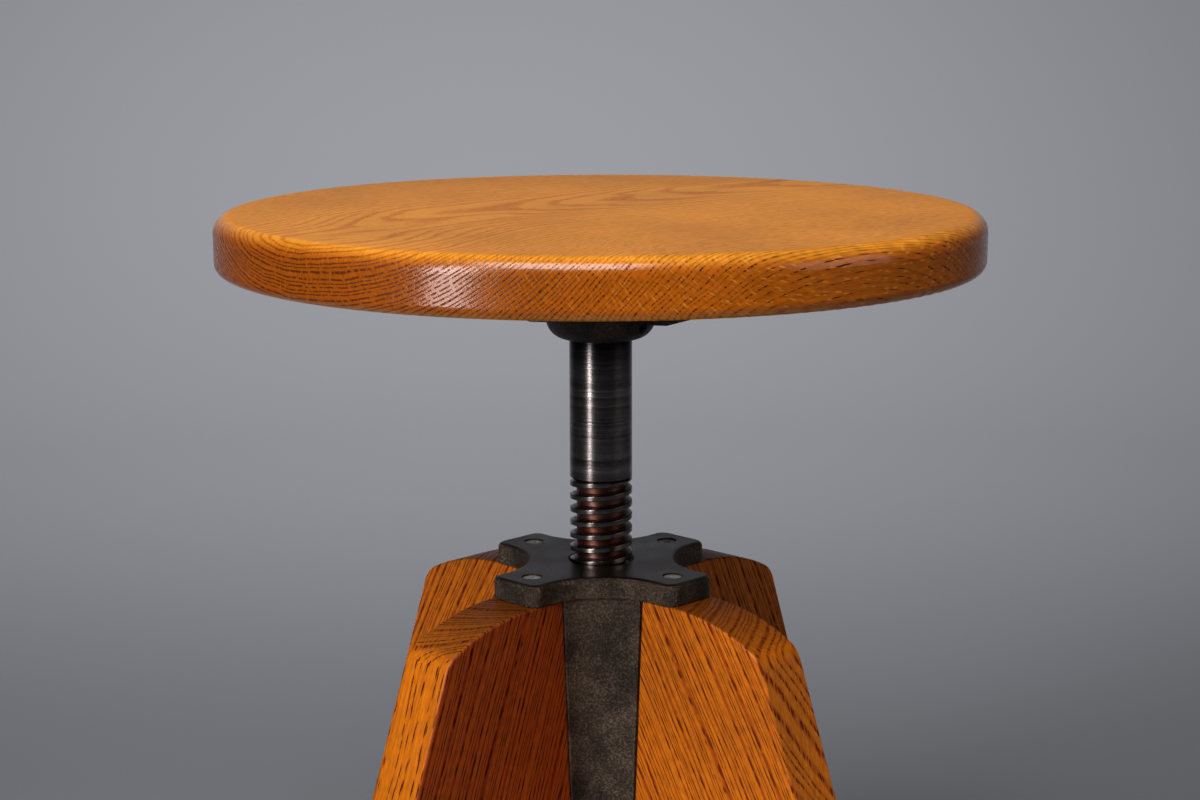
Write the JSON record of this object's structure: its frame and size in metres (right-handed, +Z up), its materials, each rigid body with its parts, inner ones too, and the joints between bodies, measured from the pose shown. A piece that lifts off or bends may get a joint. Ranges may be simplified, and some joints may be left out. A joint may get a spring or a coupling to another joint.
{
  "type": "machinist stool",
  "caption": "Height-adjustable swivel stool: round oak seat on a steel screw that turns in a cast iron hub on splayed oak legs.",
  "frame": {"origin": "on the floor, on the screw's axis, midway between the four feet", "axes": "+Z up along the screw's axis; the legs stand on the diagonals of X and Y, and -Y is the side that the picture shows"},
  "size_m": [0.36, 0.36, 0.5],
  "materials": {
    "seat_oak": "amber lacquered oak, semi-gloss",
    "leg_oak": "amber lacquered oak, semi-gloss",
    "hub_iron": "dark oiled casting, smooth on top and sandy at the sides",
    "flange_iron": "dark rough casting",
    "spindle_steel": "turned steel, oiled, with faint heat colours and lathe rings",
    "fastener_steel": "zinc-plated steel, dulled",
    "glide_steel": "pressed steel, worn"
  },
  "bodies": {
    "base": {"hub_casting": "hub_iron", "leg_front_left": "leg_oak", "leg_front_right": "leg_oak", "leg_back_right": "leg_oak", "leg_back_left": "leg_oak", "hub_screws": "fastener_steel", "hanger_bolts": "fastener_steel", "hanger_washers": "fastener_steel", "hanger_nuts": "fastener_steel", "glide_front_left": "glide_steel", "glide_front_right": "glide_steel", "glide_back_right": "glide_steel", "glide_back_left": "glide_steel"},
    "riser": {"stop_washer": "fastener_steel"},
    "seat": {"seat_board": "seat_oak", "seat_flange": "flange_iron", "seat_screws": "fastener_steel", "spindle": "spindle_steel", "set_screw": "fastener_steel", "stop_collar": "fastener_steel", "stop_bolt": "fastener_steel"}
  },
  "joints": [
    {"name": "seat_lift", "type": "slide", "parent": "base", "child": "riser", "axis": [0, 0, 1], "range_m": [-0.038, 0.106]},
    {"name": "seat_turn", "type": "hinge", "parent": "riser", "child": "seat", "pos_m": [0, 0, 0.4], "axis": [0, 0, 1], "range_deg": [-2154, 6009]}
  ],
  "couplings": [
    {"joint": "seat_lift", "follows": "seat_turn", "m_per_rad": 0.0010106}
  ]
}
